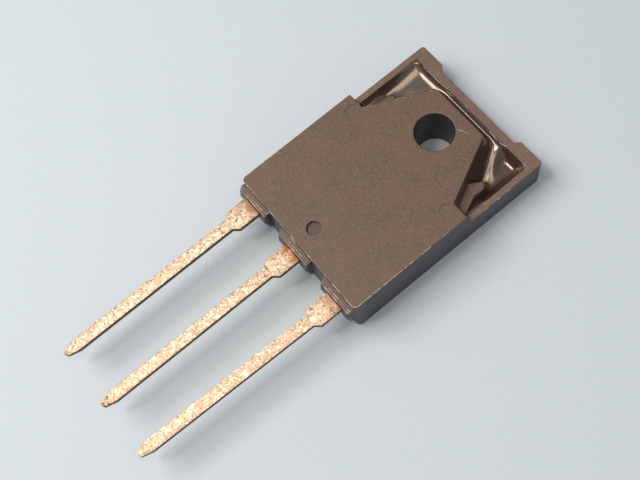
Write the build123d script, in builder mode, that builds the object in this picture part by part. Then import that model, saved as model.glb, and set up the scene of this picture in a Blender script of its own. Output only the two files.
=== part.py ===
from build123d import *
import math
import os

os.makedirs("parts", exist_ok=True)

# All lengths are millimetres and all angles degrees.
# The origin is where the mounting hole's axis meets the back face.
# +X runs across the leads, +Y from the leads to the hole's end, +Z from the back face to the main face.

# Moulded body
bodyThickness = 5.0
bodyWidth = 15.0
holeToLeadEnd = 14.8
holeToFarEnd = 5.2
upperDraft = 2.0
lowerDraft = 0.5
leadEndCornerRadius = 0.5
farCornerRadius = 0.3
mountingHole = 3.4
holeEdgeRadius = 0.15

# Far end face: two corner tabs with a slanted step down to the recessed middle
recessDepth = 0.47
recessWidth = 9.2
recessSlant = 0.35

# Step from the main face down to the rim, and the plateau that keeps the main face round the hole
holeToStep = 3.03
rimHeight = 3.45
sideRimWidth = 0.57
farRimWidth = 1.24
plateauBaseInset = 1.71
plateauEndInset = 4.6
holeToPlateauEnd = 2.72
pocketDraft = 17.0

# Corner pockets and the channel that joins them
pocketDepth = 1.25
pocketFloorRadius = 0.6
pocketEndGap = 0.45
dishEnd = 2.0
channelDepth = 0.5
channelOverrun = 0.8

# Flat pad in each pocket, standing against the step and the plateau
padDrop = 0.15
padDraft = 30.0
padToRim = 0.04
padShoulderLength = 2.1
padShoulderInset = 0.98
padTipLength = 3.57
padTipInset = 1.53
padTipWidth = 1.2

# Raised blocks round the leads, with two ledges under the main face
blockReach = 0.7
sideBlockWidth = 3.5
middleBlockWidth = 3.8
blockTopDrop = 0.5
blockLedge = 0.38
blockStepDrop = 0.2
blockNose = 0.2
blockBottomHeight = 1.8
blockBottomSlant = 0.3
blockEdgeRadius = 0.15

# Marks of the mould's ejector pins on the main face
pinMarkDiameter = 1.3
sideMarkDepth = 0.06
sideMarkInset = 1.52
holeToSideMarks = 3.84
endMarkDepth = 0.3
holeToEndMark = 12.89

# Leads
leadPitch = 5.45
leadThickness = 0.55
leadTop = 3.8
leadWidth = 1.05
shoulderWidth = 1.9
shoulderReach = 1.9
shoulderTaper = 0.5
leadReach = 19.4
tipWidth = 0.5
tipTaper = 1.2
tipRadius = 0.2
emitterTipShift = -0.35

# Inside the body: the heat spreader and neck of the collector lead, and the other leads' bond pads
spreaderCover = 1.4
spreaderLength = 9.0
spreaderThickness = 1.5
spreaderHeight = 0.9
holeToSpreader = 3.2
neckRun = 1.2
neckFoot = 0.8
bondPadWidth = 2.6
bondPadLength = 1.5
bondPadDepth = 0.6

# Chip, its solder and its bond wires
chipSide = 6.8
chipThickness = 0.25
solderThickness = 0.06
chipInset = 0.6
gateWireDiameter = 0.25
emitterWireDiameter = 0.4
wireRise = 0.4
wireRiseShare = 0.28
wireSink = 0.2
emitterWireSpacing = 1.1
gatePadInset = 0.7
emitterPadInset = 2.2

# Cutting shapes run this far past the body
cutMargin = 1.0

leadBottom = leadTop - leadThickness
partingHeight = leadBottom
leadEndY = -holeToLeadEnd
blockFace = leadEndY - blockReach
rootY = leadEndY + bondPadDepth
spreaderTop = spreaderHeight + spreaderThickness
spreaderEnd = -holeToSpreader - spreaderLength
solderTop = spreaderTop + solderThickness
chipTop = solderTop + chipThickness
chipEnd = spreaderEnd + chipInset
rimInset = (bodyThickness - rimHeight) * math.tan(math.radians(pocketDraft))
rimInnerX = bodyWidth / 2 - sideRimWidth
rimInnerY = holeToFarEnd - farRimWidth
stepAtRim = -holeToStep + rimInset
plateauBaseX = bodyWidth / 2 - plateauBaseInset
plateauEndX = bodyWidth / 2 - plateauEndInset


def bodyOutline():
    # The body's outline at the parting plane, with the recess in its far end
    with BuildSketch(Plane.XY.offset(partingHeight)) as outline:
        with Locations((0, (holeToFarEnd - holeToLeadEnd) / 2)):
            Rectangle(bodyWidth, holeToFarEnd + holeToLeadEnd)
        fillet(outline.vertices().group_by(Axis.Y)[0], leadEndCornerRadius)
        fillet(outline.vertices().group_by(Axis.Y)[-1], farCornerRadius)
        with BuildLine():
            Polyline(
                (-recessWidth / 2 - recessSlant, holeToFarEnd),
                (-recessWidth / 2, holeToFarEnd - recessDepth),
                (recessWidth / 2, holeToFarEnd - recessDepth),
                (recessWidth / 2 + recessSlant, holeToFarEnd),
                close=True,
            )
        make_face(mode=Mode.SUBTRACT)
    return outline.sketch


def plateauOutline(height, spread):
    # The plateau's outline at one height, spread outwards from its size at the main face
    rootEdge = -holeToStep - 2 * rimInset
    with BuildSketch(Plane.XY.offset(height)) as outline:
        with BuildLine():
            Polyline(
                (-plateauBaseX, rootEdge),
                (plateauBaseX, rootEdge),
                (plateauBaseX, -holeToStep),
                (plateauEndX, holeToPlateauEnd),
                (-plateauEndX, holeToPlateauEnd),
                (-plateauBaseX, -holeToStep),
                close=True,
            )
        make_face()
        if spread > 0:
            offset(amount=spread, kind=Kind.INTERSECTION)
    return outline.sketch


def pocketOutline(nearEdge):
    # The right pocket's outline at the rim's level, from nearEdge to the far rim
    pocketStart = plateauEndX + pocketEndGap
    with BuildSketch(Plane.XY.offset(rimHeight)) as outline:
        with BuildLine():
            Polyline(
                (pocketStart, nearEdge),
                (rimInnerX, nearEdge),
                (rimInnerX, rimInnerY),
                (pocketStart, rimInnerY),
                close=True,
            )
        make_face()
        add(plateauOutline(rimHeight, rimInset), mode=Mode.SUBTRACT)
    return outline.sketch


# Plateau: its walls lean out by the pocket's draft down to the rim's level
with BuildPart() as plateau:
    add(plateauOutline(bodyThickness, 0))
    add(plateauOutline(rimHeight, rimInset))
    loft()

# Space above the rim, with the step's leaning face
with BuildPart() as stepSpace:
    with BuildSketch(Plane.YZ):
        with BuildLine():
            Polyline(
                (-holeToStep, bodyThickness),
                (stepAtRim, rimHeight),
                (holeToFarEnd + cutMargin, rimHeight),
                (holeToFarEnd + cutMargin, bodyThickness + cutMargin),
                (-holeToStep, bodyThickness + cutMargin),
                close=True,
            )
        make_face()
    extrude(amount=bodyWidth, both=True)

# Flat pad that stands in the right pocket beside the step
with BuildPart() as pad:
    padTop = rimHeight - padDrop
    padFall = pocketDepth - padDrop
    padRoot = stepAtRim - padTipWidth
    padTipX = rimInnerX - padTipInset
    with BuildSketch(Plane.XY.offset(padTop)) as padOutline:
        with BuildLine():
            Polyline(
                (rimInnerX - padToRim, stepAtRim),
                (rimInnerX - padShoulderInset, stepAtRim + padShoulderLength),
                (padTipX, stepAtRim + padTipLength),
                (padTipX - padTipWidth, stepAtRim + padTipLength - padTipWidth),
                (padTipX - padTipWidth, padRoot),
                (rimInnerX - padToRim, padRoot),
                close=True,
            )
        make_face()
    with BuildSketch(Plane.XY.offset(padTop - padFall)):
        add(padOutline.sketch.moved(Location((0, 0, -padFall))))
        offset(amount=padFall * math.tan(math.radians(padDraft)), kind=Kind.INTERSECTION)
    loft()

# Deep end of the right pocket: leaning walls and a rounded floor
with BuildPart() as dishSpace:
    add(pocketOutline(stepAtRim + dishEnd))
    extrude(amount=-pocketDepth, taper=pocketDraft)
    fillet(dishSpace.faces().sort_by(Axis.Z)[0].edges(), pocketFloorRadius)

# Whole space of the right pocket: the deep end, a narrow groove along the side rim, and the pad left standing
with BuildPart() as pocketSpace:
    add(pocketOutline(stepAtRim))
    extrude(amount=-pocketDepth + pocketFloorRadius, taper=pocketDraft)
    add(dishSpace.part)
    add(pad.part, mode=Mode.SUBTRACT)

# Channel along the far rim that joins the two pockets
with BuildPart() as channelSpace:
    channelNear = holeToPlateauEnd + rimInset
    with BuildSketch(Plane.XY.offset(rimHeight)):
        with Locations((0, (channelNear + rimInnerY) / 2)):
            Rectangle(2 * (plateauEndX + rimInset + channelOverrun), rimInnerY - channelNear)
    extrude(amount=-channelDepth, taper=pocketDraft)


def leadBlock(width):
    # A block that holds one lead: two ledges under the main face and a slanted front
    blockTop = bodyThickness - blockTopDrop
    with BuildPart() as block:
        with BuildSketch(Plane.YZ):
            with BuildLine():
                Polyline(
                    (leadEndY + cutMargin, blockTop),
                    (blockFace + blockLedge, blockTop),
                    (blockFace + blockLedge, blockTop - blockStepDrop),
                    (blockFace + blockNose, blockTop - blockStepDrop),
                    (blockFace, partingHeight),
                    (blockFace + blockBottomSlant, blockBottomHeight),
                    (leadEndY + cutMargin, blockBottomHeight),
                    close=True,
                )
            make_face()
        extrude(amount=width / 2, both=True)
        frontFaces = block.faces().sort_by(Axis.Y)[:2]
        fillet(frontFaces.edges().filter_by(Axis.X, reverse=True), blockEdgeRadius)
    return block.part


def leadOutline(centreX, tipShift):
    # A lead's outline from its root in the body to its tip: a wide shoulder, then the narrow pin.
    # tipShift is how far the pin is bent aside at its tip.
    shoulderEnd = blockFace - shoulderReach
    narrowStart = shoulderEnd - shoulderTaper
    tipY = blockFace - leadReach
    tipX = centreX + tipShift
    taperX = centreX + tipShift * (narrowStart - tipY - tipTaper) / (narrowStart - tipY)
    with BuildSketch(Plane.XY.offset(leadBottom)) as outline:
        with BuildLine():
            Polyline(
                (centreX + shoulderWidth / 2, rootY),
                (centreX + shoulderWidth / 2, shoulderEnd),
                (centreX + leadWidth / 2, narrowStart),
                (taperX + leadWidth / 2, tipY + tipTaper),
                (tipX + tipWidth / 2, tipY),
                (tipX - tipWidth / 2, tipY),
                (taperX - leadWidth / 2, tipY + tipTaper),
                (centreX - leadWidth / 2, narrowStart),
                (centreX - shoulderWidth / 2, shoulderEnd),
                (centreX - shoulderWidth / 2, rootY),
                close=True,
            )
        make_face()
        fillet(outline.vertices().group_by(Axis.Y)[0], tipRadius)
    return outline.sketch


def bondedLead(centreX, tipShift):
    # A lead that isn't joined to the heat spreader, with the pad that its wires are bonded to
    with BuildPart() as lead:
        add(leadOutline(centreX, tipShift))
        with BuildSketch(Plane.XY.offset(leadBottom)):
            with Locations((centreX, rootY + bondPadLength / 2)):
                Rectangle(bondPadWidth, bondPadLength)
        extrude(amount=leadThickness)
    return lead


gateLead = bondedLead(-leadPitch, 0)
gateLead.part.label = "gate_lead"
export_step(gateLead.part, "parts/gate_lead.step")

# The emitter lead's pin is bent a little towards the middle
emitterLead = bondedLead(leadPitch, emitterTipShift)
emitterLead.part.label = "emitter_lead"
export_step(emitterLead.part, "parts/emitter_lead.step")

# Collector lead: one stamped piece with the thick heat spreader, joined by a neck that bends down to it
with BuildPart() as collectorLead:
    add(leadOutline(0, 0))
    extrude(amount=leadThickness)
    with BuildSketch(Plane.YZ):
        with BuildLine():
            Polyline(
                (rootY, leadTop),
                (spreaderEnd - neckRun, leadTop),
                (spreaderEnd, spreaderTop),
                (spreaderEnd + neckFoot, spreaderTop),
            )
            offset(amount=leadThickness, side=Side.RIGHT, kind=Kind.INTERSECTION)
        make_face()
    extrude(amount=shoulderWidth / 2, both=True)
    with Locations((0, spreaderEnd + spreaderLength / 2, spreaderHeight)):
        Box(
            bodyWidth - 2 * spreaderCover,
            spreaderLength,
            spreaderThickness,
            align=(Align.CENTER, Align.CENTER, Align.MIN),
        )
collectorLead.part.label = "collector_lead"
export_step(collectorLead.part, "parts/collector_lead.step")

# Solder layer and chip on the heat spreader
with BuildPart() as solderLayer:
    with Locations((0, chipEnd, spreaderTop)):
        Box(chipSide, chipSide, solderThickness, align=(Align.CENTER, Align.MIN, Align.MIN))
solderLayer.part.label = "solder_layer"
export_step(solderLayer.part, "parts/solder_layer.step")

with BuildPart() as chip:
    with Locations((0, chipEnd, solderTop)):
        Box(chipSide, chipSide, chipThickness, align=(Align.CENTER, Align.MIN, Align.MIN))
chip.part.label = "chip"
export_step(chip.part, "parts/chip.step")


def bondWire(diameter, chipX, chipY, leadX, lead):
    # A wire that rises from the chip, runs level and comes down on a lead's bond pad, cut flush with both surfaces
    leadY = rootY + bondPadLength / 2
    runX = (leadX - chipX) * wireRiseShare
    runY = (leadY - chipY) * wireRiseShare
    with BuildPart() as wire:
        with BuildLine() as path:
            Polyline(
                (chipX, chipY, chipTop - wireSink),
                (chipX + runX, chipY + runY, leadTop + wireRise),
                (leadX - runX, leadY - runY, leadTop + wireRise),
                (leadX, leadY, leadTop - wireSink),
            )
        with BuildSketch(Plane(origin=path.line @ 0, z_dir=path.line % 0)):
            Circle(diameter / 2)
        sweep(transition=Transition.RIGHT)
        split(bisect_by=Plane.XY.offset(chipTop), keep=Keep.TOP)
        add(lead, mode=Mode.SUBTRACT)
    return wire


gateWire = bondWire(
    gateWireDiameter,
    -chipSide / 2 + gatePadInset,
    chipEnd + gatePadInset,
    -leadPitch,
    gateLead.part,
)
gateWire.part.label = "gate_wire"
export_step(gateWire.part, "parts/gate_wire.step")

innerWireX = chipSide / 2 - emitterPadInset
emitterWireInner = bondWire(
    emitterWireDiameter,
    innerWireX,
    chipEnd + emitterPadInset,
    leadPitch - emitterWireSpacing / 2,
    emitterLead.part,
)
emitterWireInner.part.label = "emitter_wire_inner"
export_step(emitterWireInner.part, "parts/emitter_wire_inner.step")

emitterWireOuter = bondWire(
    emitterWireDiameter,
    innerWireX + emitterWireSpacing,
    chipEnd + emitterPadInset,
    leadPitch + emitterWireSpacing / 2,
    emitterLead.part,
)
emitterWireOuter.part.label = "emitter_wire_outer"
export_step(emitterWireOuter.part, "parts/emitter_wire_outer.step")

# Moulded housing: the drafted body, its stepped end, blocks and marks, moulded tight round all that is inside
with BuildPart() as housing:
    add(bodyOutline())
    extrude(amount=-partingHeight, taper=lowerDraft)
    add(bodyOutline())
    extrude(amount=bodyThickness - partingHeight, taper=upperDraft)
    add(stepSpace.part, mode=Mode.SUBTRACT)
    add(channelSpace.part, mode=Mode.SUBTRACT)
    add(pocketSpace.part, mode=Mode.SUBTRACT)
    mirror(pocketSpace.part, about=Plane.YZ, mode=Mode.SUBTRACT)
    add(plateau.part)

    with Locations((-leadPitch, 0), (leadPitch, 0)):
        add(leadBlock(sideBlockWidth))
    add(leadBlock(middleBlockWidth))

    with BuildSketch(Plane.XY):
        Circle(mountingHole / 2)
    extrude(amount=bodyThickness, mode=Mode.SUBTRACT)
    fillet(housing.edges(Select.LAST).filter_by(GeomType.CIRCLE), holeEdgeRadius)

    with BuildSketch(Plane.XY.offset(bodyThickness)):
        sideMarkX = bodyWidth / 2 - sideMarkInset
        with Locations((-sideMarkX, -holeToSideMarks), (sideMarkX, -holeToSideMarks)):
            Circle(pinMarkDiameter / 2)
    extrude(amount=-sideMarkDepth, mode=Mode.SUBTRACT)
    with BuildSketch(Plane.XY.offset(bodyThickness)):
        with Locations((0, -holeToEndMark)):
            Circle(pinMarkDiameter / 2)
    extrude(amount=-endMarkDepth, mode=Mode.SUBTRACT)

    add(gateLead.part, mode=Mode.SUBTRACT)
    add(emitterLead.part, mode=Mode.SUBTRACT)
    add(collectorLead.part, mode=Mode.SUBTRACT)
    add(solderLayer.part, mode=Mode.SUBTRACT)
    add(chip.part, mode=Mode.SUBTRACT)
    add(gateWire.part, mode=Mode.SUBTRACT)
    add(emitterWireInner.part, mode=Mode.SUBTRACT)
    add(emitterWireOuter.part, mode=Mode.SUBTRACT)
housing.part.label = "housing"
export_step(housing.part, "parts/housing.step")
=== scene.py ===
import math

import bpy
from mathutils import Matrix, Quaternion, Vector


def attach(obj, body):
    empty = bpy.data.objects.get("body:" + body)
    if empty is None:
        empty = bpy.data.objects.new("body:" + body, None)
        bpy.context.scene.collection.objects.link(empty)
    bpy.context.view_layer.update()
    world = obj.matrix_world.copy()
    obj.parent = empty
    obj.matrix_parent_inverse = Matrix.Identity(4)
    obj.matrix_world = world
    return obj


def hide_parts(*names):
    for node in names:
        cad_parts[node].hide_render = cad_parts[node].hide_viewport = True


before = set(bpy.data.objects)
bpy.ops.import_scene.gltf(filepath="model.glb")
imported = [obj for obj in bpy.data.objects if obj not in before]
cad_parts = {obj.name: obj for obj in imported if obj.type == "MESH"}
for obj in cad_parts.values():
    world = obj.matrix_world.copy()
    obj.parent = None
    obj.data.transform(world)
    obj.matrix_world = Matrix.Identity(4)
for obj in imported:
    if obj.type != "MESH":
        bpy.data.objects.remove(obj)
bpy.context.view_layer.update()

# The CAD frame in metres: X across the leads, Y towards the hole, Z up from the back face.
# Sizes in the settings are millimetres, as in the part's source.
mm = 0.001


# Helpers for objects and edit mode

def deselectAll():
    if bpy.context.object and bpy.context.object.mode != "OBJECT":
        bpy.ops.object.mode_set(mode="OBJECT")
    bpy.ops.object.select_all(action="DESELECT")


def makeActive(piece):
    deselectAll()
    piece.select_set(True)
    bpy.context.view_layer.objects.active = piece


def addBlock(name, low, high):
    # A block between two corners, its place already in its mesh
    deselectAll()
    centre = [(a + b) / 2 * mm for a, b in zip(low, high)]
    spread = [(b - a) * mm for a, b in zip(low, high)]
    bpy.ops.mesh.primitive_cube_add(size=1, location=centre, scale=spread)
    piece = bpy.context.object
    piece.name = name
    piece.data.name = name
    bpy.ops.object.transform_apply(location=True, rotation=True, scale=True)
    return piece


def pickFaces(piece, wanted):
    # Leaves the piece in edit mode with only the wanted faces selected
    makeActive(piece)
    bpy.ops.object.mode_set(mode="EDIT")
    bpy.ops.mesh.select_mode(type="FACE")
    bpy.ops.mesh.select_all(action="DESELECT")
    bpy.ops.object.mode_set(mode="OBJECT")
    for face in piece.data.polygons:
        face.select = wanted(face)
    bpy.ops.object.mode_set(mode="EDIT")


def pickEdges(piece, wanted):
    # Leaves the piece in edit mode with only the wanted edges selected
    makeActive(piece)
    bpy.ops.object.mode_set(mode="EDIT")
    bpy.ops.mesh.select_mode(type="EDGE")
    bpy.ops.mesh.select_all(action="DESELECT")
    bpy.ops.object.mode_set(mode="OBJECT")
    for edge in piece.data.edges:
        edge.select = wanted(edge)
    bpy.ops.object.mode_set(mode="EDIT")


def extrudeTo(shift, widen=(1, 1, 1), centre=(0, 0, 0)):
    # Extrudes what is selected, then scales the new end about a point
    bpy.ops.mesh.extrude_region_move(
        TRANSFORM_OT_translate={"value": [s * mm for s in shift]}
    )
    bpy.ops.transform.resize(value=widen, center_override=[c * mm for c in centre])


def applyModifier(piece, kind, **settings):
    makeActive(piece)
    modifier = piece.modifiers.new(kind.lower(), kind)
    for key, value in settings.items():
        setattr(modifier, key, value)
    bpy.ops.object.modifier_apply(modifier=modifier.name)


def combine(piece, tool, operation, **settings):
    # An exact boolean, after which the tool is gone
    applyModifier(piece, "BOOLEAN", object=tool, operation=operation, solver="EXACT", **settings)
    bpy.data.objects.remove(tool)


def smoothByAngle(piece, degrees):
    makeActive(piece)
    bpy.ops.object.shade_smooth_by_angle(angle=math.radians(degrees))


# Materials

class finishNodes:
    # A new material with its shader and a short way to add nodes
    def __init__(self, name):
        self.material = bpy.data.materials.new(name)
        self.material.use_nodes = True
        self.tree = self.material.node_tree
        self.shader = self.tree.nodes["Principled BSDF"]
        self.place = self.tree.nodes.new("ShaderNodeTexCoord")

    def add(self, kind, **inputs):
        node = self.tree.nodes.new(kind)
        for key, value in inputs.items():
            node.inputs[key].default_value = value
        return node

    def link(self, source, target):
        self.tree.links.new(source, target)

    def noise(self, scale, detail=3.0, roughness=0.55, stretch=None):
        node = self.add("ShaderNodeTexNoise", Scale=scale, Detail=detail, Roughness=roughness)
        if stretch:
            mapping = self.add("ShaderNodeMapping", Scale=stretch)
            self.link(self.place.outputs["Object"], mapping.inputs["Vector"])
            self.link(mapping.outputs["Vector"], node.inputs["Vector"])
        else:
            self.link(self.place.outputs["Object"], node.inputs["Vector"])
        return node.outputs["Fac"]

    def ramp(self, source, stops):
        node = self.add("ShaderNodeValToRGB")
        elements = node.color_ramp.elements
        while len(elements) < len(stops):
            elements.new(0.5)
        for element, (position, colour) in zip(elements, stops):
            element.position = position
            element.color = (*colour, 1)
        self.link(source, node.inputs["Fac"])
        return node.outputs["Color"]

    def remap(self, source, low, high, start, end):
        node = self.add("ShaderNodeMapRange")
        for key, value in zip(("From Min", "From Max", "To Min", "To Max"), (low, high, start, end)):
            node.inputs[key].default_value = value
        self.link(source, node.inputs["Value"])
        return node.outputs["Result"]

    def math(self, kind, first, second):
        node = self.add("ShaderNodeMath")
        node.operation = kind
        for socket, value in zip(node.inputs, (first, second)):
            if isinstance(value, (int, float)):
                socket.default_value = value
            else:
                self.link(value, socket)
        return node.outputs["Value"]

    def mix(self, amount, first, second):
        node = self.add("ShaderNodeMix")
        node.data_type = "RGBA"
        for socket, value in ((node.inputs[0], amount), (node.inputs[6], first), (node.inputs[7], second)):
            if isinstance(value, tuple):
                socket.default_value = (*value, 1)
            else:
                self.link(value, socket)
        return node.outputs[2]

    def bump(self, height, distance, strength=1.0, under=None):
        node = self.add("ShaderNodeBump", Strength=strength, Distance=distance)
        self.link(height, node.inputs["Height"])
        if under:
            self.link(under, node.inputs["Normal"])
        return node.outputs["Normal"]

    def axes(self, source=None):
        node = self.add("ShaderNodeSeparateXYZ")
        self.link(source or self.place.outputs["Object"], node.inputs[0])
        return node.outputs["X"], node.outputs["Y"], node.outputs["Z"]

    def finish(self, colour, roughness, normal=None):
        for source, name in ((colour, "Base Color"), (roughness, "Roughness"), (normal, "Normal")):
            if source:
                self.link(source, self.shader.inputs[name])

    def paintOver(self, amount, colour):
        # Lays one more colour over the finished one
        base = self.shader.inputs["Base Color"].links[0].from_socket
        self.link(self.mix(amount, base, colour), self.shader.inputs["Base Color"])


def tinted(colour, factors):
    return tuple(c * k for c, k in zip(colour, factors))


# Filled epoxy in its finishes: dark and light tone, least and most roughness, grain depth, reflection
epoxyLooks = {
    "epoxy_matte_face": ((0.080, 0.048, 0.033), (0.139, 0.086, 0.060), (0.46, 0.60), 0.010, 0.45),
    # The worn edges' finish, a little lighter than the face, is wear and partly a painted edge highlight
    "epoxy_worn_edge_and_highlight": ((0.075, 0.047, 0.034), (0.150, 0.096, 0.070), (0.34, 0.50), 0.008, 0.5),
    "epoxy_polished_pocket": ((0.030, 0.018, 0.015), (0.048, 0.030, 0.024), (0.20, 0.27), 0.0006, 1.0),
    # The side finish is a darker, faintly bluish copy of the face: painted shade with a painted bluish
    # reflection
    "epoxy_side_painted_shade": ((0.024, 0.022, 0.026), (0.042, 0.039, 0.045), (0.34, 0.46), 0.006, 0.5),
    "epoxy_pin_mark": ((0.074, 0.044, 0.032), (0.146, 0.092, 0.066), (0.42, 0.56), 0.008, 0.5),
    # The rim finish is a lighter copy of the face: a painted sheen on the rim tops
    "epoxy_rim_painted_sheen": ((0.088, 0.053, 0.038), (0.188, 0.120, 0.088), (0.38, 0.52), 0.012, 0.5),
    "epoxy_deep_mark": ((0.048, 0.030, 0.023), (0.092, 0.059, 0.045), (0.42, 0.56), 0.012, 0.5),
}


def mouldedEpoxy(name):
    # A fine mottle, faint warm blotches, a few redder specks and a spark-eroded grain
    dark, light, (roughLow, roughHigh), grain, reflection = epoxyLooks[name]
    f = finishNodes(name)
    fine = f.noise(7500, 3, 0.7)
    broad = f.noise(420, 3, 0.5)
    specks = f.noise(2600, 2, 0.5)
    colour = f.ramp(fine, ((0.38, dark), (0.62, light)))
    colour = f.mix(f.remap(broad, 0.35, 0.7, 0.0, 0.35), colour, tinted(light, (1.1, 1.0, 0.92)))
    colour = f.mix(f.remap(specks, 0.66, 0.76, 0.0, 0.3), colour, tinted(light, (1.35, 0.95, 0.85)))
    f.finish(colour, f.remap(fine, 0.3, 0.7, roughLow, roughHigh), f.bump(fine, grain * mm))
    f.shader.inputs["Specular IOR Level"].default_value = reflection
    return f


# The edges are painted pale in patches, most of all on the +X side and from the hole towards the leads:
# partly wear, partly a painted highlight along the edges
wearAndHighlight = {
    "tone": (0.62, 0.46, 0.34),
    "fromY": -4.5,
    "toY": -10.0,
    "fromX": 6.8,
    "toX": 7.2,
    "most": 0.17,
}


def addWearAndHighlight(f):
    patches = f.noise(1500, 4, 0.7)
    x, y = f.axes()[:2]
    alongY = f.remap(y, wearAndHighlight["fromY"] * mm, wearAndHighlight["toY"] * mm, 0.0, wearAndHighlight["most"])
    alongX = f.remap(x, wearAndHighlight["fromX"] * mm, wearAndHighlight["toX"] * mm, 0.35, 1.0)
    wearAndHighlightShare = f.math("ADD", patches, f.math("MULTIPLY", alongY, alongX))
    f.paintOver(f.remap(wearAndHighlightShare, 0.55, 0.68, 0.0, 0.95), wearAndHighlight["tone"])


# Fine pale scratches on the main face: middle, turn in degrees, length, width, tone
scratches = (
    ((1.55, 1.72), 22, 1.15, 0.055, (0.36, 0.25, 0.18)),
    ((-4.25, 0.80), -16, 1.1, 0.05, (0.30, 0.20, 0.15)),
)
scratchHeight = 5.0
scratchWave = 0.1
scratchFade = 0.25


def addScratch(f, middle, turn, length, width, tone):
    # Each point is turned into the line's own axes, where a wavy strip is cut off at both ends
    mapping = f.add("ShaderNodeMapping")
    mapping.vector_type = "TEXTURE"
    mapping.inputs["Location"].default_value = [c * mm for c in (*middle, scratchHeight)]
    mapping.inputs["Rotation"].default_value = (0, 0, math.radians(turn))
    f.link(f.place.outputs["Object"], mapping.inputs["Vector"])
    lineX, lineY = f.axes(mapping.outputs["Vector"])[:2]
    wave = f.remap(f.noise(1400, 2, 0.5), 0.3, 0.7, -scratchWave * mm, scratchWave * mm)
    across = f.math("ABSOLUTE", f.math("ADD", lineY, wave), 0.0)
    along = f.math("ABSOLUTE", lineX, 0.0)
    nearLine = f.remap(across, width * mm, 0.3 * width * mm, 0.0, 1.0)
    inside = f.remap(along, length / 2 * mm, (length / 2 - scratchFade) * mm, 0.0, 1.0)
    onTop = f.remap(f.axes()[2], (scratchHeight - 0.15) * mm, (scratchHeight - 0.1) * mm, 0.0, 0.8)
    f.paintOver(f.math("MULTIPLY", f.math("MULTIPLY", nearLine, inside), onTop), tone)


epoxies = {name: mouldedEpoxy(name) for name in epoxyLooks}
addWearAndHighlight(epoxies["epoxy_worn_edge_and_highlight"])
for scratch in scratches:
    addScratch(epoxies["epoxy_matte_face"], *scratch)
polished = epoxies["epoxy_polished_pocket"].shader
polished.inputs["Specular Tint"].default_value = (1.0, 0.82, 0.66, 1)
polished.inputs["IOR"].default_value = 1.7

# The leads' plating: its tones, the stretches along Y with more pits, and where the stain is full
tin = {
    "crystals": (
        (0.34, (0.24, 0.15, 0.09)),
        (0.45, (0.40, 0.28, 0.185)),
        (0.56, (0.54, 0.41, 0.29)),
        (0.68, (0.78, 0.70, 0.58)),
    ),
    "pink": (0.50, 0.29, 0.20),
    "bright": (0.88, 0.80, 0.64),
    "pit": (0.16, 0.080, 0.040),
    "pitted": ((-19.6, -18.2, 0.055), (-32.8, -34.2, 0.095)),
    "stainFull": -15.5,
    "stainWander": 0.5,
}


def tinPlating(name, stain, stainStart):
    # Dull tin over copper: bright crystals, pinkish mottle, brown pits, a stain where it leaves the body
    f = finishNodes(name)
    crystals = f.noise(6500, 4, 0.7)
    patches = f.noise(900, 3, 0.6)
    spots = f.noise(1900, 2, 0.5)
    pits = f.noise(2600, 3, 0.6)
    colour = f.ramp(crystals, tin["crystals"])
    colour = f.mix(f.remap(patches, 0.42, 0.68, 0.0, 0.5), colour, tin["pink"])
    colour = f.mix(f.remap(spots, 0.60, 0.72, 0.0, 0.6), colour, tin["bright"])
    y = f.axes()[1]
    more = [f.remap(y, start * mm, end * mm, 0.0, most) for start, end, most in tin["pitted"]]
    pitted = f.math("ADD", pits, f.math("ADD", *more))
    colour = f.mix(f.remap(pitted, 0.63, 0.70, 0.0, 0.85), colour, tin["pit"])
    wander = f.remap(spots, 0.3, 0.7, -tin["stainWander"] * mm, tin["stainWander"] * mm)
    stained = f.remap(f.math("ADD", y, wander), stainStart * mm, tin["stainFull"] * mm, 0.0, 0.9)
    normal = f.bump(patches, 0.03 * mm, 0.6, f.bump(crystals, 0.018 * mm))
    f.finish(f.mix(stained, colour, stain), f.remap(crystals, 0.3, 0.7, 0.6, 0.42), normal)
    f.shader.inputs["Metallic"].default_value = 0.55
    return f.material


def copperWithPaintedShade(name):
    # The cut sides of the leads: copper brown darkened to near black as painted shade, streaked along the
    # thickness
    f = finishNodes(name)
    streaks = f.noise(2400, 3, 0.6, (1, 1, 0.2))
    colour = f.ramp(streaks, ((0.4, (0.055, 0.034, 0.024)), (0.62, (0.15, 0.095, 0.062))))
    f.finish(colour, f.remap(streaks, 0.3, 0.7, 0.42, 0.6), f.bump(streaks, 0.01 * mm))
    f.shader.inputs["Metallic"].default_value = 0.5
    return f.material


outerTin = tinPlating("tin_plated_outer", (0.20, 0.095, 0.050), -16.4)
middleTin = tinPlating("tin_plated_middle", (0.30, 0.072, 0.032), -16.2)
shadedCopperSide = copperWithPaintedShade("sheared_copper_side_painted_shade")


# Camera, solved from the photograph

print("camera")
cameraSettings = {
    "place": (28.174, -23.231, 80.515),
    "turn": (0.891206, 0.129452, 0.127347, 0.415664),
    "lens": 56.39,
    "sensor": 36,
    "nearest": 5,
    "farthest": 10000,
}
deselectAll()
bpy.ops.object.camera_add(location=[p * mm for p in cameraSettings["place"]])
camera = bpy.context.object
camera.name = "photo_camera"
camera.rotation_mode = "QUATERNION"
camera.rotation_quaternion = Quaternion(cameraSettings["turn"])
camera.data.lens = cameraSettings["lens"]
camera.data.sensor_width = cameraSettings["sensor"]
camera.data.clip_start = cameraSettings["nearest"] * mm
camera.data.clip_end = cameraSettings["farthest"] * mm
bpy.context.scene.camera = camera


# Floor and light

print("floor and light")
studio = {
    "floorSize": 3000,
    "floorColour": (0.50, 0.55, 0.59),
    "aim": (0, -12, 3),
    "skyColour": (0.82, 0.90, 1.0),
    "skyStrength": 0.40,
}
# Soft discs of light: direction from the part, reach, size, watts, colour
lights = {
    "key_light": ((-0.38, -0.375, 0.85), 200, 125, 0.33, (1.0, 0.95, 0.87)),
    "top_light": ((-0.10, -0.30, 0.95), 220, 36, 0.11, (1.0, 0.93, 0.82)),
    "glow_light": ((0.27, 0.02, 0.92), 220, 90, 0.08, (1.0, 0.9, 0.78)),
}


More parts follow.
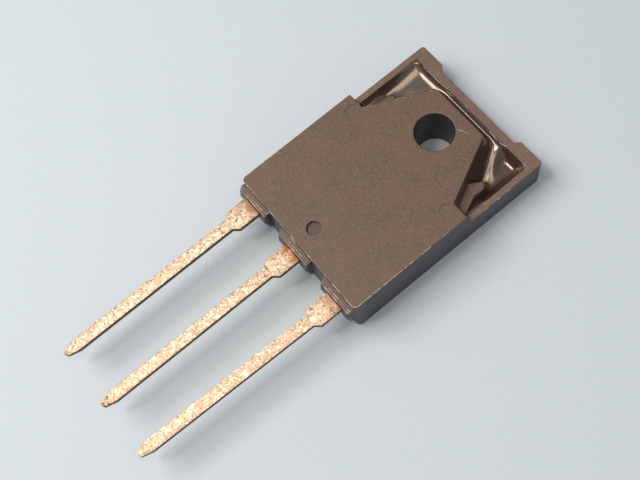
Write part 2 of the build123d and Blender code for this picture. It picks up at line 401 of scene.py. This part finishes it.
def addFloor():
    deselectAll()
    bpy.ops.mesh.primitive_plane_add(size=studio["floorSize"] * mm)
    floor = bpy.context.object
    floor.name = "pale_floor"
    f = finishNodes("pale_paper")
    paper = f.noise(1800, 3)
    pale = studio["floorColour"]
    colour = f.ramp(paper, ((0.35, tinted(pale, (0.97, 0.97, 0.97))), (0.65, pale)))
    f.finish(colour, f.remap(paper, 0.3, 0.7, 0.75, 0.9))
    floor.data.materials.append(f.material)


def addSoftLight(name, direction, reach, size, watts, colour):
    deselectAll()
    aim = Vector([a * mm for a in studio["aim"]])
    place = aim + Vector(direction).normalized() * (reach * mm)
    bpy.ops.object.light_add(type="AREA", location=place)
    light = bpy.context.object
    light.name = name
    light.rotation_mode = "QUATERNION"
    light.rotation_quaternion = (place - aim).to_track_quat("Z", "Y")
    light.data.shape = "DISK"
    light.data.size = size * mm
    light.data.energy = watts
    light.data.color = colour


addFloor()
for name, light in lights.items():
    addSoftLight(name, *light)
world = bpy.data.worlds.new("studio_sky")
bpy.context.scene.world = world
world.use_nodes = True
sky = world.node_tree.nodes["Background"]
sky.inputs["Color"].default_value = (*studio["skyColour"], 1)
sky.inputs["Strength"].default_value = studio["skyStrength"]
bpy.context.scene.view_settings.view_transform = "Standard"


# Housing: a copy of the solid's mesh, its outer edges rounded and painted pale, as wear and as a painted
# highlight

print("housing")
housing = {
    "top": 5.0,
    "rimTop": 3.45,
    "blockTop": 4.55,
    "step": -3.15,
    "holeFaces": 1.9,
    "holeEdges": 2.0,
    "holeTop": 4.95,
    "pinMarks": ((0.0, -12.89), (-5.98, -3.84), (5.98, -3.84)),
    "markReach": 0.8,
    "markDepth": 0.1,
    "leads": (-5.45, 0.0, 5.45),
    "slotHalf": 0.98,
    "weld": 0.00001,
    "flat": 0.4,
    "edge": 0.05,
    "edgeAngle": 25,
    "smoothAngle": 24,
    "near": 0.01,
    "level": 0.99,
    "steep": 0.3,
}
# Boxes inside which no edge is rounded and painted pale: the cavity round the chip, the slots for the
# leads, the pockets
cavityBox = ((-6.4, -14.78, 0.8), (6.4, housing["step"], 4.45))
slotBox = ((-7.5, -15.6, 3.2), (7.5, -14.6, 3.85))
pocketBox = ((-7.0, housing["step"], 1.5), (7.0, 4.2, housing["rimTop"] - 0.02))
# The shell's finishes, in the order of its material slots
shellFinishes = (
    "epoxy_matte_face",
    "epoxy_worn_edge_and_highlight",
    "epoxy_polished_pocket",
    "epoxy_side_painted_shade",
    "epoxy_pin_mark",
    "epoxy_rim_painted_sheen",
    "epoxy_deep_mark",
)


def inBox(point, box):
    return all(low < value < high for low, value, high in zip(box[0], point, box[1]))


def finishName(face):
    # The finish of a face, by its place and by how far it faces up; the hole's wall and the other upright
    # faces take the side finish, a darker bluish copy of the face that is painted shade
    x, y, z = face.center / mm
    up = face.normal.z
    level = up > housing["level"]
    belowTop = z < housing["top"] - housing["near"]
    if math.hypot(x, y) < housing["holeFaces"] and z < housing["holeTop"]:
        return "epoxy_side_painted_shade"
    if inBox((x, y, z), pocketBox) and up > -housing["steep"]:
        return "epoxy_polished_pocket"
    if abs(up) < housing["steep"] and belowTop:
        return "epoxy_side_painted_shade"
    if level and belowTop and z > housing["blockTop"]:
        shallow = z > housing["top"] - housing["markDepth"]
        return "epoxy_pin_mark" if shallow else "epoxy_deep_mark"
    # Level rim tops get the lighter copy, a painted sheen
    if level and abs(z - housing["rimTop"]) < housing["near"] and y > housing["step"]:
        return "epoxy_rim_painted_sheen"
    return "epoxy_matte_face"


def convexEdges(piece, degrees):
    # The outward edges whose faces turn by more than so many degrees
    meeting = {}
    for face in piece.data.polygons:
        for key in face.edge_keys:
            meeting.setdefault(key, []).append(face)
    found = set()
    for key, faces in meeting.items():
        if len(faces) != 2:
            continue
        first, second = faces
        turned = first.normal.angle(second.normal, 0) >= math.radians(degrees)
        if turned and first.normal.dot(second.center - first.center) < 0:
            found.add(key)
    return found


def takesWearAndHighlight(piece, edge):
    # Outer edges only: none in the cavity, a slot or a pocket, and none round the hole or a pin mark
    a, b = (piece.data.vertices[v].co / mm for v in edge.vertices)
    middle = (a + b) / 2
    if inBox(middle, cavityBox) or inBox(middle, pocketBox):
        return False
    if inBox(middle, slotBox) and min(abs(middle.x - c) for c in housing["leads"]) < housing["slotHalf"]:
        return False
    if math.hypot(middle.x, middle.y) < housing["holeEdges"]:
        return False
    return all(
        math.hypot(middle.x - markX, middle.y - markY) >= housing["markReach"]
        for markX, markY in housing["pinMarks"]
    )


shell = bpy.data.objects.new("moulded_housing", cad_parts["housing"].data.copy())
bpy.context.scene.collection.objects.link(shell)
applyModifier(shell, "WELD", merge_threshold=housing["weld"] * mm)
bpy.ops.object.mode_set(mode="EDIT")
bpy.ops.mesh.select_all(action="SELECT")
bpy.ops.mesh.dissolve_limited(angle_limit=math.radians(housing["flat"]))
bpy.ops.object.mode_set(mode="OBJECT")
shell.data.materials.clear()
for name in shellFinishes:
    shell.data.materials.append(epoxies[name].material)
for face in shell.data.polygons:
    face.material_index = shellFinishes.index(finishName(face))
sharp = convexEdges(shell, housing["edgeAngle"])
pickEdges(shell, lambda edge: edge.key in sharp and takesWearAndHighlight(shell, edge))
bpy.ops.mesh.bevel(
    offset=housing["edge"] * mm,
    segments=2,
    affect="EDGES",
    clamp_overlap=False,
    material=shellFinishes.index("epoxy_worn_edge_and_highlight"),
)
bpy.ops.object.mode_set(mode="OBJECT")


# The tray at the hole's end: a polished floor that runs in soft curves from the channel into both pockets.
# Its band goes from the plateau's outline out to the rim's: up one pocket, along the channel, down the
# other. Where the pockets differ, a pair holds the value of the one at -X, then of the one at +X.
tray = {
    "inner": ((5.79, -3.03), (2.9, 2.72), (-2.9, 2.72), (-5.79, -3.03)),
    "outer": ((6.93, -3.03), (6.93, 3.96), (-6.93, 3.96), (-6.93, -3.03)),
    "columns": 140,
    "rows": 56,
    "spill": 0.012,
    "lean": 17,
    "bottom": 1.5,
    "cutter": (1.6, 6.0),
    "extrude": 8,
    "floor": (2.5, 2.1),
    "grooveTop": 2.9,
    "grooveRun": (-1.0, -0.1),
    "channel": 3.05,
    "channelRun": (1.5, 2.5),
    "channelEnd": (2.3, 3.3),
    "plateauCap": 4.96,
    "rimCap": 3.42,
    "rimCapFrom": 0.9,
    "stepCap": 0.03,
}
ramp = {
    "start": 0.3,
    "soft": 1.1,
    "slope": (0.17, 0.4),
    "tilt": (0, 0.05),
    "tiltFrom": 3.5,
    "tiltRun": (1.6, 2.8),
    "edge": (5.2, 4.0),
    "edgeRun": (0.8, 3.4),
    "fall": 1.1,
    "rest": (0.9, 0.2),
}
cove = {
    "start": 5.2,
    "gain": (0.2, 0),
    "run": (-0.8, 1.5),
}
# Reach of the fillets, as a difference in height
fillet = {
    "wallNear": 0.6,
    "wallFar": 0.9,
    "wallWide": 1.1,
    "wallRun": (0.3, 1.8),
    "wideRun": (2.6, 3.8),
    "rimChannel": 0.8,
    "rimEnd": (1.35, 0.65),
    "rimSide": (1.0, 2.0),
    "plateau": 0.5,
    "step": 0.3,
    "line": 0.1,
}
pad = {
    "side": ((6.77, -2.59), (6.07, -1.0), (6.12, 0.1)),
    "tip": ((6.12, 0.1), (5.62, 0.42), (4.98, -0.62)),
    "top": (2.75, 3.8),
    "slope": 3.2,
    "round": 0.3,
    "edge": 0.07,
    "foot": 0.15,
    "paintReach": 0.05,
    "paintDepth": 0.12,
}
# Heights are averaged over a ring of points, except close to the band's two borders
blur = {
    "reach": 0.26,
    "points": 8,
    "firstAngle": 20,
    "border": 0.12,
}
leanRun = math.tan(math.radians(tray["lean"]))


def softMax(a, b, reach):
    # The larger of two heights, with a fillet where they come near each other
    near = max(reach - abs(a - b), 0) / reach
    return max(a, b) + near * near * reach / 4


def softStep(value, low, high):
    t = min(max((value - low) / (high - low), 0), 1)
    return t * t * (3 - 2 * t)


def beyondLines(x, y, corners, reach):
    # How far a point lies outside a chain of lines, less than zero when it is inside
    distance = None
    for start, end in zip(corners, corners[1:]):
        run = Vector((end[0] - start[0], end[1] - start[1])).normalized()
        outside = (x - start[0]) * run.y - (y - start[1]) * run.x
        distance = outside if distance is None else softMax(distance, outside, reach)
    return distance


def stepHeight(y):
    return housing["top"] - (y - tray["inner"][0][1]) / leanRun


def beyondPad(x, y):
    # The pad's long side bends inward, its tip is rounded
    first, second = (beyondLines(x, y, pad["side"][i:i + 2], fillet["line"]) for i in (0, 1))
    return softMax(min(first, second), beyondLines(x, y, pad["tip"], pad["round"]), pad["round"])


def rampHeight(x, y, side):
    # The rise towards the channel: it starts softly, then climbs and leans a little to one side
    climb = max(y - ramp["start"], 0)
    soft = min(climb, ramp["soft"])
    rise = ramp["slope"][side] * (soft * soft / (2 * ramp["soft"]) + climb - soft)
    rise += ramp["tilt"][side] * (x - ramp["tiltFrom"]) * softStep(y, *ramp["tiltRun"])
    near, far = ramp["edge"]
    edge = near + (far - near) * softStep(y, *ramp["edgeRun"])
    rest = ramp["rest"][side]
    return rise * (rest + (1 - rest) * (1 - softStep(x, edge, edge + ramp["fall"])))


def floorHeight(x, y, side):
    # The channel's floor, and the pocket's with its ramp, its cove by the rim and its groove by the step
    floor = tray["floor"][side]
    inChannel = 1 - softStep(x, *tray["channelEnd"])
    z = floor + rampHeight(x, y, side) * (1 - inChannel)
    z += cove["gain"][side] * max(x - cove["start"], 0) ** 2 * softStep(y, *cove["run"])
    z += (tray["channel"] - floor) * inChannel * softStep(y, *tray["channelRun"])
    return z + (tray["grooveTop"] - floor) * (1 - softStep(y, *tray["grooveRun"]))


def bowlHeight(x, y):
    # The highest of the floor and the leaning walls, with fillets between them
    side = 0 if x < 0 else 1
    x = abs(x)
    z = floorHeight(x, y, side)
    (startX, startY), (cornerX, cornerY) = tray["inner"][:2]
    beyondSlant = beyondLines(x, y, ((startX, startY), (cornerX, cornerY)), fillet["line"])
    outside = softMax(beyondSlant, y - cornerY, fillet["plateau"])
    inPocket = softStep(x, *fillet["wideRun"])
    far = fillet["wallFar"] + (fillet["wallWide"] - fillet["wallFar"]) * inPocket
    wallSoft = fillet["wallNear"] + (far - fillet["wallNear"]) * softStep(y, *fillet["wallRun"])
    z = softMax(z, housing["top"] - outside / leanRun, wallSoft)
    rimX, rimY = tray["outer"][1]
    rimSoft = fillet["rimChannel"] + (fillet["rimEnd"][side] - fillet["rimChannel"]) * inPocket
    z = softMax(z, housing["rimTop"] - (rimY - y) / leanRun, rimSoft)
    z = softMax(z, housing["rimTop"] - (rimX - x) / leanRun, fillet["rimSide"][side])
    return softMax(z, stepHeight(y), fillet["step"])


def trayHeight(x, y, v):
    # The bowl's averaged height, then the pad
    reach = blur["reach"] * max(min(v, 1 - v, blur["border"]), 0) / blur["border"]
    heights = [bowlHeight(x, y)]
    for turn in range(blur["points"] if reach else 0):
        angle = math.radians(360 / blur["points"] * turn + blur["firstAngle"])
        heights.append(bowlHeight(x + reach * math.cos(angle), y + reach * math.sin(angle)))
    top = pad["top"][0 if x < 0 else 1]
    padHeight = top - pad["slope"] * softMax(beyondPad(abs(x), y), 0, pad["edge"])
    return softMax(sum(heights) / len(heights), padHeight, pad["foot"])


def bandHeight(x, y, v):
    # The tray's height, kept just under the plateau at the inner border and under the rim at the outer one
    cap = tray["plateauCap"]
    if v > tray["rimCapFrom"]:
        cap = max(tray["rimCap"], min(cap, stepHeight(y) - tray["stepCap"]))
    return min(trayHeight(x, y, v), cap)


def cutterHeight(x, y, v):
    return tray["cutter"][1]


def bandPoint(u, v):
    # A place on the band: u counts its three stretches, v runs from the plateau to the rim
    stretch = min(max(int(u), 0), 2)
    t = u - stretch
    ends = []
    for line in (tray["inner"], tray["outer"]):
        (startX, startY), (endX, endY) = line[stretch], line[stretch + 1]
        ends.append((startX + (endX - startX) * t, startY + (endY - startY) * t))
    (innerX, innerY), (outerX, outerY) = ends
    return innerX + (outerX - innerX) * v, innerY + (outerY - innerY) * v


def addBand(name, columns, rows, spill, heightAt, low):
    # The band as a closed solid: a grid put in place, extruded down and made flat underneath
    deselectAll()
    bpy.ops.mesh.primitive_grid_add(x_subdivisions=3 * columns, y_subdivisions=rows, size=2)
    piece = bpy.context.object
    piece.name = name
    for point in piece.data.vertices:
        u = (point.co.x + 1) / 2 * (3 + 2 * spill) - spill
        v = (1 - point.co.y) / 2 * (1 + 2 * spill) - spill
        x, y = bandPoint(u, v)
        point.co = Vector((x, y, heightAt(x, y, v))) * mm
    bpy.ops.object.mode_set(mode="EDIT")
    bpy.ops.mesh.select_all(action="SELECT")
    extrudeTo((0, 0, -tray["extrude"]), (1, 1, 0), (0, 0, low))
    bpy.ops.mesh.select_all(action="SELECT")
    bpy.ops.mesh.normals_make_consistent(inside=False)
    bpy.ops.object.mode_set(mode="OBJECT")
    return piece


def isPadTop(face):
    x, y, z = face.center / mm
    top = pad["top"][0 if x < 0 else 1]
    return beyondPad(abs(x), y) < pad["paintReach"] and abs(z - top) < pad["paintDepth"]


cutter = addBand("tray_cutter", 1, 1, 0, cutterHeight, tray["cutter"][0])
cutter.data.materials.append(epoxies["epoxy_worn_edge_and_highlight"].material)
combine(shell, cutter, "DIFFERENCE", material_mode="TRANSFER")
trayFloor = addBand("tray_floor", tray["columns"], tray["rows"], tray["spill"], bandHeight, tray["bottom"])
trayFloor.data.materials.append(epoxies["epoxy_polished_pocket"].material)
trayFloor.data.materials.append(epoxies["epoxy_matte_face"].material)
for face in trayFloor.data.polygons:
    face.material_index = 1 if isPadTop(face) else 0
print("tray", len(trayFloor.data.polygons), "faces")
combine(shell, trayFloor, "UNION", material_mode="TRANSFER")
print("shell", len(shell.data.polygons), "faces")
smoothByAngle(shell, housing["smoothAngle"])
applyModifier(shell, "WEIGHTED_NORMAL", mode="FACE_AREA", weight=100, keep_sharp=True)
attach(shell, "root")
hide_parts("housing")


# Leads: stamped and plated, the middle one with the heat spreader inside the body

print("leads")
lead = {
    "pitch": 5.45,
    "top": 3.8,
    "thickness": 0.55,
    "width": 1.05,
    "shoulder": 1.9,
    "root": -14.2,
    "shoulderEnd": -17.4,
    "narrowStart": -17.9,
    "taperStart": -33.7,
    "tip": -34.9,
    "tipWidth": 0.5,
    "tipThinning": 0.62,
    "tipRound": 0.24,
    "tipBend": -0.35,
    "bondWidth": 2.6,
    "bondLength": 1.5,
    "bondFlare": 0.001,
    "edge": 0.05,
    "edgeAngle": 35,
    "smoothAngle": 40,
    "near": 0.001,
    "steep": 0.5,
}
spreader = {
    "neckStart": -13.4,
    "end": -12.2,
    "length": 9.0,
    "halfWidth": 6.1,
    "low": 0.9,
    "top": 2.4,
    "overlap": 0.8,
}


def stampedLead(name, centreX, tipShift):
    # From the shoulder out to the rounded tip, the end moved sideways by tipShift
    low = lead["top"] - lead["thickness"]
    middle = (lead["top"] + low) / 2
    half = lead["shoulder"] / 2
    piece = addBlock(
        name,
        (centreX - half, lead["shoulderEnd"], low),
        (centreX + half, lead["root"], lead["top"]),
    )
    pickFaces(piece, lambda face: face.normal.y < -0.9)
    narrowRun = lead["narrowStart"] - lead["tip"]
    taperShift = tipShift * (lead["narrowStart"] - lead["taperStart"]) / narrowRun
    extrudeTo(
        (0, lead["narrowStart"] - lead["shoulderEnd"], 0),
        (lead["width"] / lead["shoulder"], 1, 1),
        (centreX, lead["narrowStart"], middle),
    )
    extrudeTo((taperShift, lead["taperStart"] - lead["narrowStart"], 0))
    extrudeTo(
        (tipShift - taperShift, lead["tip"] - lead["taperStart"], 0),
        (lead["tipWidth"] / lead["width"], 1, lead["tipThinning"]),
        (centreX + tipShift, lead["tip"], middle),
    )
    bpy.ops.object.mode_set(mode="OBJECT")
    points = piece.data.vertices
    tip = lead["tip"] * mm
    near = lead["near"] * mm

    def isTipCorner(edge):
        # An upright edge at the tip's end
        first, second = (points[v].co for v in edge.vertices)
        atTip = abs(first.y - tip) < near and abs(second.y - tip) < near
        return atTip and abs(first.x - second.x) < near

    pickEdges(piece, isTipCorner)
    bpy.ops.mesh.bevel(offset=lead["tipRound"] * mm, segments=4, affect="EDGES", clamp_overlap=True)
    bpy.ops.object.mode_set(mode="OBJECT")
    return piece


def addBondPad(piece, centreX):
    # The wide root inside the body that a bond wire lands on
    middle = lead["top"] - lead["thickness"] / 2
    pickFaces(piece, lambda face: face.normal.y > 0.9)
    widen = (lead["bondWidth"] / lead["shoulder"], 1, 1)
    extrudeTo((0, lead["bondFlare"], 0), widen, (centreX, lead["root"], middle))
    extrudeTo((0, lead["bondLength"] - lead["bondFlare"], 0))
    bpy.ops.object.mode_set(mode="OBJECT")


def addSpreader(piece):
    # The neck bends down from the root into the slab that the chip is soldered to
    pickFaces(piece, lambda face: face.normal.y > 0.9)
    extrudeTo((0, spreader["neckStart"] - lead["root"], 0))
    extrudeTo((0, spreader["end"] - spreader["neckStart"], spreader["top"] - lead["top"]))
    extrudeTo((0, spreader["overlap"], 0))
    bpy.ops.object.mode_set(mode="OBJECT")
    slab = addBlock(
        "spreader_slab",
        (-spreader["halfWidth"], spreader["end"], spreader["low"]),
        (spreader["halfWidth"], spreader["end"] + spreader["length"], spreader["top"]),
    )
    combine(piece, slab, "UNION")


def finishLead(piece, node, plating):
    applyModifier(
        piece,
        "BEVEL",
        width=lead["edge"] * mm,
        segments=2,
        limit_method="ANGLE",
        angle_limit=math.radians(lead["edgeAngle"]),
    )
    piece.data.materials.append(plating)
    piece.data.materials.append(shadedCopperSide)
    for face in piece.data.polygons:
        # Upright faces take the dark copper, which paints shade on the leads' sides
        face.material_index = 1 if abs(face.normal.z) < lead["steep"] else 0
    smoothByAngle(piece, lead["smoothAngle"])
    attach(piece, "root")
    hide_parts(node)


gate = stampedLead("gate_lead_plated", -lead["pitch"], 0)
addBondPad(gate, -lead["pitch"])
finishLead(gate, "gate_lead", outerTin)
emitter = stampedLead("emitter_lead_plated", lead["pitch"], lead["tipBend"])
addBondPad(emitter, lead["pitch"])
finishLead(emitter, "emitter_lead", outerTin)
collector = stampedLead("collector_lead_plated", 0, 0)
addSpreader(collector)
finishLead(collector, "collector_lead", middleTin)


# Inner pieces: the solids as they are, each with its own finish

print("inner pieces")
# Dark and light tone, noise scale, metallic share, roughness
innerLooks = {
    "bare_silicon": ((0.16, 0.17, 0.20), (0.30, 0.31, 0.34), 1500, 0.6, 0.2),
    "soft_solder": ((0.42, 0.42, 0.43), (0.62, 0.62, 0.62), 3500, 1.0, 0.4),
    "drawn_aluminium": ((0.70, 0.70, 0.71), (0.86, 0.86, 0.87), 4000, 1.0, 0.32),
}
innerPieces = {
    "chip": "bare_silicon",
    "solder_layer": "soft_solder",
    "gate_wire": "drawn_aluminium",
    "emitter_wire_inner": "drawn_aluminium",
    "emitter_wire_outer": "drawn_aluminium",
}


def innerFinish(name):
    dark, light, scale, metallic, roughness = innerLooks[name]
    f = finishNodes(name)
    grain = f.noise(scale, 4, 0.6)
    rough = f.remap(grain, 0.3, 0.7, roughness - 0.08, roughness + 0.08)
    f.finish(f.ramp(grain, ((0.35, dark), (0.65, light))), rough, f.bump(grain, 0.004 * mm))
    f.shader.inputs["Metallic"].default_value = metallic
    return f.material


innerFinishes = {name: innerFinish(name) for name in innerLooks}
for node, finish in innerPieces.items():
    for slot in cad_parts[node].material_slots:
        slot.material = innerFinishes[finish]

deselectAll()
